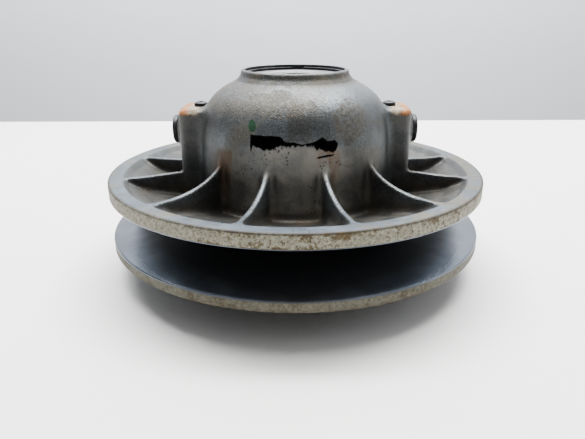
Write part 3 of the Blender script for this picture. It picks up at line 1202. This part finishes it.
# spring with ground ends
pts = []
turns, steps = 5.5, 36
n_pts = int(turns * steps)
for i in range(n_pts + 1):
    t = i / n_pts
    dead = 0.11
    if t < dead:
        hgt = 0.02 * t / dead
    elif t > 1 - dead:
        hgt = 1.0 - 0.02 * (1 - t) / dead
    else:
        u = (t - dead) / (1 - 2 * dead)
        hgt = 0.02 + 0.96 * (0.75 * u + 0.25 * (3 * u * u - 2 * u * u * u))
    a = math.tau * turns * t
    pts.append(Vector((24.6 * math.cos(a), 24.6 * math.sin(a), 55.1 + 51.0 * hgt)))
Vs, Fs = [], []
NW = 18
for i, p in enumerate(pts):
    q = pts[min(i + 1, n_pts)] - pts[max(i - 1, 0)]
    o = Vector((p.x, p.y, 0)).normalized()
    w = q.normalized().cross(o).normalized()
    for j in range(NW):
        b = math.tau * j / NW
        Vs.append(p + 2.18 * (math.cos(b) * o + math.sin(b) * w))
for i in range(n_pts):
    for j in range(NW):
        Fs.append((i * NW + j, i * NW + (j + 1) % NW, (i + 1) * NW + (j + 1) % NW, (i + 1) * NW + j))
me = bpy.data.meshes.new("spring_fine")
me.from_pydata([tuple(v * MM) for v in Vs], [], Fs + [tuple(range(NW)), tuple(range(n_pts * NW, n_pts * NW + NW))])
me.shade_smooth()
me.set_sharp_from_angle(angle=D(50))
spring = bpy.data.objects.new("spring_fine", me)
bpy.context.scene.collection.objects.link(spring)
orient(spring)
give(spring, SPRING_MAT, "fixed_half", ["spring"])
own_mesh(spring)

# hollow post with its splined bore
teeth, per = 22, 8
npost = teeth * per
ang = np.arange(npost) * math.tau / npost
wave = np.array([0.0, 0.0, 0.35, 1.0, 1.0, 1.0, 0.65, 0.0])[np.arange(npost) % per]
inner_r = 10.25 + 0.95 * wave
outer = fillet_path([(12.0, 119.0), (14.5, 119.0, 0.8), (14.5, 118.0, 0.1), (13.0, 118.0, 0.1), (13.0, 115.9, 0.1), (14.5, 115.9, 0.2),
                     (14.5, 13.2, 0.8), (30.0, 13.2, 0.4), (30.0, 8.2, 0.8), (14.5, 8.2, 1.0), (14.5, 0.5, 0.8), (12.0, 0.5)])
rows = lathe_rows([tuple(p) for p in outer], ang)
inner_rows = []
for z, grow in ((0.5, 1.0), (1.5, 0.0), (118.0, 0.0), (119.0, 1.0)):
    rr = inner_r + grow * (11.6 - inner_r)
    inner_rows.append(np.stack([rr * np.cos(ang), rr * np.sin(ang), np.full(npost, z)], 1))
VP = np.concatenate([rows] + inner_rows)
nrows = len(outer) + 4
FP = np.concatenate([ring_quads(i * npost, ((i + 1) % nrows) * npost, npost) for i in range(nrows)])
post = mesh_object("post_fine", VP, FP, sharp=35)
orient(post)
give(post, POST_MAT, "fixed_half", ["post"])

# carried-over pieces that keep their shape
for node, mat in (("helix_cam", CAM_MAT), ("cam_key", STEEL_MAT)):
    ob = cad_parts[node]
    ob.data.materials.clear()
    ob.data.materials.append(mat)
    for p in ob.data.polygons:
        p.material_index = 0

# ------------------------------------------------------------ stage and light


def plane(name, corners, mat):
    me = bpy.data.meshes.new(name)
    me.from_pydata(corners, [], [(0, 1, 2, 3)])
    me.materials.append(mat)
    ob = bpy.data.objects.new(name, me)
    bpy.context.scene.collection.objects.link(ob)
    return ob


k = Mat("table_top")
n1 = k.noise(6.0, 3.0, 0.5)
n2 = k.noise(220.0, 4.0, 0.6)
FLOOR_MAT = k.end(k.mix(n1, (0.77, 0.765, 0.745), (0.81, 0.805, 0.785)), k.add(0.62, k.mul(n2, 0.1)), 0.0, n2, dist=0.00003)
k = Mat("back_wall")
n1 = k.noise(1.5, 3.0, 0.5)
WALL_MAT = k.end(k.mix(n1, (0.74, 0.76, 0.80), (0.79, 0.80, 0.83)), 0.8, 0.0)
floor = plane("table_floor", [(-3, -2.5, 0), (3, -2.5, 0), (3, 0.51, 0), (-3, 0.51, 0)], FLOOR_MAT)
wall = plane("backdrop_wall", [(-6, 1.6, -1.5), (6, 1.6, -1.5), (6, 1.6, 5.0), (-6, 1.6, 5.0)], WALL_MAT)


def area(name, loc, target, size, power, colour=(1, 1, 1), size_y=None):
    li = bpy.data.lights.new(name, "AREA")
    li.shape = "RECTANGLE"
    li.size = size
    li.size_y = size_y or size
    li.energy = power
    li.color = colour
    ob = bpy.data.objects.new(name, li)
    bpy.context.scene.collection.objects.link(ob)
    d = Vector(target) - Vector(loc)
    ob.matrix_world = Matrix.Translation(loc) @ d.to_track_quat("-Z", "Y").to_matrix().to_4x4()
    return ob


lights = [
    area("overhead", (0.05, 0.31, 1.2), (0.05, 0.31, 0), 1.15, 49.0, (1.0, 0.995, 0.98), 0.82),
    area("wall_wash", (0.0, 0.7, 2.2), (0, 1.6, 0.1), 3.0, 225.0, (0.96, 0.98, 1.0), 0.5),
    area("right_fill", (1.6, 0.1, 0.7), (0, 0, 0.08), 1.0, 6.0, (0.97, 0.985, 1.0), 0.8),
]
world = bpy.data.worlds.new("soft_room")
bpy.context.scene.world = world
world.use_nodes = True
wn = world.node_tree
bg = wn.nodes["Background"]
tc = wn.nodes.new("ShaderNodeTexCoord")
sp = wn.nodes.new("ShaderNodeSeparateXYZ")
wn.links.new(tc.outputs["Generated"], sp.inputs[0])
ramp = wn.nodes.new("ShaderNodeValToRGB")
mr = wn.nodes.new("ShaderNodeMapRange")
mr.inputs["From Min"].default_value = -1.0
mr.inputs["From Max"].default_value = 1.0
wn.links.new(sp.outputs[2], mr.inputs[0])
wn.links.new(mr.outputs[0], ramp.inputs[0])
els = ramp.color_ramp.elements
els[0].position, els[0].color = 0.0, (0.05, 0.05, 0.05, 1)
els[1].position, els[1].color = 1.0, (1.0, 1.0, 1.0, 1)
for p, c in ((0.5, (0.07, 0.07, 0.075, 1)), (0.62, (0.10, 0.10, 0.11, 1)), (0.80, (0.5, 0.5, 0.52, 1))):
    e = els.new(p)
    e.color = c
wn.links.new(ramp.outputs[0], bg.inputs[0])
bg.inputs[1].default_value = 0.75
